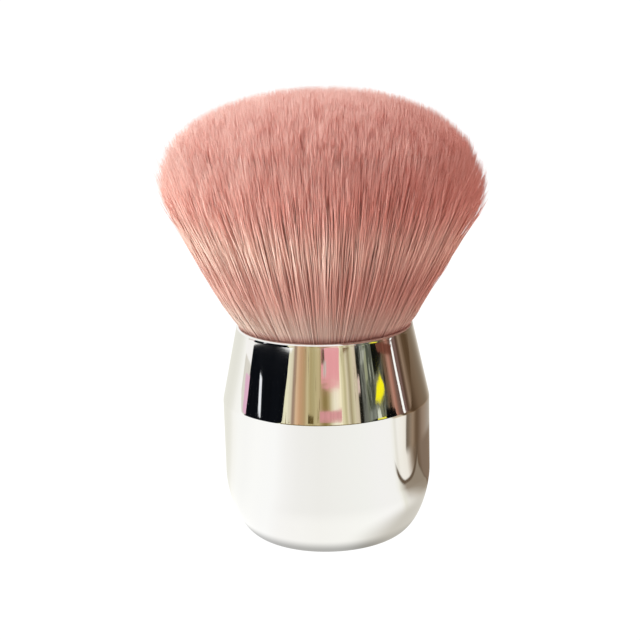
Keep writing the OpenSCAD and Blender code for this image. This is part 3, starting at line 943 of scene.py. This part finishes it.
def tables(s):
    """Three discs just below the brush: a pale one for the camera, one for the plating, which carries painted
    light and the brush's painted shadow, and a plain one that throws light back and takes the shadows."""
    a = np.linspace(0, 2 * np.pi, TABLE_SIDES, endpoint=False)
    column = np.arange(TABLE_SIDES)
    fan = np.stack([column, (column + 1) % TABLE_SIDES, np.full(TABLE_SIDES, TABLE_SIDES)], axis=1)

    def disc(name, drop, made, *kinds):
        edge = [TABLE_RADIUS * np.cos(a), TABLE_RADIUS * np.sin(a), np.full_like(a, -drop)]
        points = np.concatenate([np.stack(edge, axis=1), [[0, 0, -drop]]])
        seen_only(new_piece(name, points, [fan], made, smooth=False), *kinds)

    def cloudy(field, shade, level):
        return noise(field, object_place(field), 6.0, 2.0).mix(rgba(shade, level), rgba(shade))

    def table_top(field):
        return cloudy(field, s.table_colour, 0.985), None, s.table_glow

    def mirrored(field):
        return table_mirror(field), None, s.card_glow

    def bounce(field):
        shade = cloudy(field, s.bounce_colour, 0.97)
        return {"Base Color": shade, "Roughness": 1.0, "Specular IOR Level": 0.0}
    top_drop, mirror_drop, bounce_drop = 0.00005, 0.0001, 0.0002
    disc("table_top", top_drop, glow("table_top", table_top), "camera", "transmission")
    disc("table_mirror", mirror_drop, glow("table_mirror", mirrored), "glossy")
    disc("table_bounce", bounce_drop, material("table_bounce", bounce), "diffuse", "shadow")


def walls(s):
    """The wall, cards and flecks that only the plating sees. Each card stands a little in front of the one
    before it, and the flecks stand between the bands and the other cards."""
    def wall(field):
        return rgba(s.wall_colour), None, s.card_glow
    all_round = (-180, 180)
    wall_card("studio_wall", WALL_RADIUS, all_round, all_round, (-0.2, -0.2), (2.0, 2.0), wall)
    for k, (name, low_turn, high_turn, low, high, paint, streaks) in enumerate(WALL_CARDS):
        finish = mottled(paint, streaks, s.card_glow)
        wall_card(name, CARD_RADIUS - 0.001 * k, low_turn, high_turn, low, high, finish)
    for k, (name, turns, low, paint, scale, clear) in enumerate(FLECK_CARDS):
        wall_card(name, FLECK_RADIUS - 0.0001 * k, turns, turns, low, None, flecked(paint, scale, clear))


def surroundings(s):
    """Even light from all round, and the table's colour where the camera sees past the table."""
    world = bpy.data.worlds.new("even_light")
    bpy.context.scene.world = world
    field = empty_tree(world)
    sky = field.node("ShaderNodeBackground", {}, {"Color": rgba(s.sky_colour), "Strength": s.sky})
    behind = field.node("ShaderNodeBackground", {}, {"Color": rgba(s.table_colour), "Strength": s.table_glow})
    to_camera = field.node("ShaderNodeLightPath")
    both = field.node("ShaderNodeMixShader", {}, {0: to_camera, 1: sky, 2: behind})
    field.node("ShaderNodeOutputWorld", {}, {"Surface": both})


LAMPS = (
    # name, settings of its strength and its colour, width in degrees, where it shines from
    ("key_light", "key", "key_colour", 56, (-0.87, -0.48, 0.14)),
    ("fill_light", "fill", "fill_colour", 70, (0.72, -0.68, 0.15)),
    ("top_light", "top", "sky_colour", 80, (-0.15, 0.10, 1.0)),
    ("edge_light", "edge", "edge_colour", 70, (-0.97, 0.08, 0.12)),
)


def lamps(s):
    """The soft lights, which don't show in the plating."""
    for name, strength, shade, width, aim in LAMPS:
        lamp = bpy.data.lights.new(name, "SUN")
        lamp.energy, lamp.angle, lamp.color = getattr(s, strength), math.radians(width), getattr(s, shade)
        made = bpy.data.objects.new(name, lamp)
        bpy.context.scene.collection.objects.link(made)
        made.rotation_euler = Vector(aim).to_track_quat("Z", "Y").to_euler()
        made.visible_glossy = False


def studio(s):
    """Pale table, soft lights, and coloured cards that show only in the plating."""
    tables(s)
    walls(s)
    surroundings(s)
    lamps(s)
    bpy.context.scene.view_settings.view_transform = "Standard"


def photo_camera(s):
    """The camera: it looks at the axis from in front, then turns a little about its own three axes."""
    rise = s.camera_elevation
    forward = Vector((0, math.cos(rise), -math.sin(rise)))
    right = Vector((1, 0, 0))
    up = right.cross(forward)
    place = Vector((0, 0, s.aim_height)) - forward * s.camera_distance
    axes = [right, up, forward]
    for k, turn in ((1, s.pan), (0, s.tilt), (2, s.roll)):
        turned = Matrix.Rotation(turn, 3, axes[k])
        axes = [turned @ axis for axis in axes]
    right, up, forward = axes
    lens = bpy.data.cameras.new("photo_camera")
    lens.lens, lens.sensor_width = s.lens, SENSOR_WIDTH
    lens.clip_start, lens.clip_end = CLIP_NEAR, CLIP_FAR
    made = bpy.data.objects.new("photo_camera", lens)
    bpy.context.scene.collection.objects.link(made)
    stand = Matrix((right, up, -forward)).transposed().to_4x4()
    stand.translation = place
    made.matrix_world = stand
    bpy.context.scene.camera = made


# Operators

def sectors(head, chosen, parts, first_turn):
    """The chosen filaments in so many sectors round the axis, from a first turn in radians, as lists of
    indices."""
    turn = (np.arctan2(head.place[:, 1], head.place[:, 0]) - first_turn) % (2 * np.pi)
    sector = np.minimum((turn * parts / (2 * np.pi)).astype(int), parts - 1)
    return [np.flatnonzero(chosen & (sector == k)) for k in range(parts)]


class KABUKI_OT_stage(bpy.types.Operator):
    """Makes the camera, the pale floor, the soft lights and the studio cards"""
    bl_idname = "kabuki.stage"
    bl_label = "Stage"

    def execute(self, context):
        photo_camera(context.scene.kabuki_stage)
        studio(context.scene.kabuki_stage)
        return {"FINISHED"}


class KABUKI_OT_handle(bpy.types.Operator):
    """Makes the mirror-plated handle shell over its solid"""
    bl_idname = "kabuki.handle"
    bl_label = "Handle"

    def execute(self, context):
        h = context.scene.kabuki_handle
        shell = lathe("plated_handle", shell_outline(h), h.turns, plating(h), sharp=math.radians(40))
        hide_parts("handle_shell")
        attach(shell, "root")
        return {"FINISHED"}


class KABUKI_OT_inner(bpy.types.Operator):
    """Finishes the pieces enclosed in the handle"""
    bl_idname = "kabuki.inner"
    bl_label = "Enclosed pieces"

    def execute(self, context):
        s = context.scene.kabuki_inner
        adhesive = set_adhesive(s)
        finishes = {
            "counterweight": turned_steel(s), "weight_adhesive": adhesive, "ferrule_cup": drawn_aluminium(s),
            "ferrule_adhesive": adhesive, "root_resin": bonded_resin(s), "binding_thread": binding_cord(s)}
        for node, made in finishes.items():
            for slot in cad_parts[node].material_slots:
                slot.material = made
        return {"FINISHED"}


class KABUKI_OT_core(bpy.types.Operator):
    """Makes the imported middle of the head, which shows only between the filaments"""
    bl_idname = "kabuki.core"
    bl_label = "Packed middle"

    def execute(self, context):
        s = context.scene.kabuki_head
        core = lathe("packed_middle", core_outline(s), 120, core_finish(s), sharp=math.radians(50))
        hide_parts("bristle_tuft")
        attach(core, "root")
        return {"FINISHED"}


class KABUKI_OT_filaments(bpy.types.Operator):
    """Makes the head's filaments: whole ones on the flank, and the upper ends of those under the crown"""
    bl_idname = "kabuki.filaments"
    bl_label = "Filaments"

    def execute(self, context):
        s = context.scene.kabuki_head
        head, made = Head(s), filament_finish(s)
        flank = head.out > s.flank_share
        pieces = []
        for k, pick in enumerate(sectors(head, flank, 5, first_turn=0.4)):
            t = np.array(FLANK_ROWS) * head.end[pick][:, None]
            pieces.append(filament_mesh(f"flank_filaments_{k + 1}", head, pick, t, made))
        for k, pick in enumerate(sectors(head, ~flank, 6, first_turn=0.9)):
            low = 1 - s.crown_depth / (head.tip[pick][:, None] - s.root_height)
            t = low + (head.end[pick][:, None] - low) * np.array(CROWN_ROWS)
            pieces.append(filament_mesh(f"crown_filaments_{k + 1}", head, pick, t, made))
        for piece in pieces:
            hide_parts("bristle_tuft")
            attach(piece, "root")
        return {"FINISHED"}


class KABUKI_PT_panel(bpy.types.Panel):
    """Lists the brush's pieces and their settings"""
    bl_label = "Kabuki brush"
    bl_idname = "KABUKI_PT_panel"
    bl_space_type = "VIEW_3D"
    bl_region_type = "UI"
    bl_category = "Brush"

    def draw(self, context):
        for operator in OPERATORS:
            self.layout.operator(operator.bl_idname)
        for pointer, group in SETTINGS.items():
            box = self.layout.box()
            box.label(text=group.__name__.replace("Settings", ""))
            for key in group.__annotations__:
                box.prop(getattr(context.scene, pointer), key)


SETTINGS = {"kabuki_handle": HandleSettings, "kabuki_inner": InnerSettings, "kabuki_head": HeadSettings,
            "kabuki_stage": StageSettings}
OPERATORS = (KABUKI_OT_stage, KABUKI_OT_handle, KABUKI_OT_inner, KABUKI_OT_core, KABUKI_OT_filaments)


def register():
    for made in (*SETTINGS.values(), *OPERATORS, KABUKI_PT_panel):
        bpy.utils.register_class(made)
    for pointer, group in SETTINGS.items():
        setattr(bpy.types.Scene, pointer, bpy.props.PointerProperty(type=group))


def unregister():
    for pointer in SETTINGS:
        delattr(bpy.types.Scene, pointer)
    for made in reversed((*SETTINGS.values(), *OPERATORS, KABUKI_PT_panel)):
        bpy.utils.unregister_class(made)


def main():
    register()
    bpy.ops.kabuki.stage()
    bpy.ops.kabuki.handle()
    bpy.ops.kabuki.inner()
    bpy.ops.kabuki.core()
    bpy.ops.kabuki.filaments()


if __name__ == "__main__":
    main()
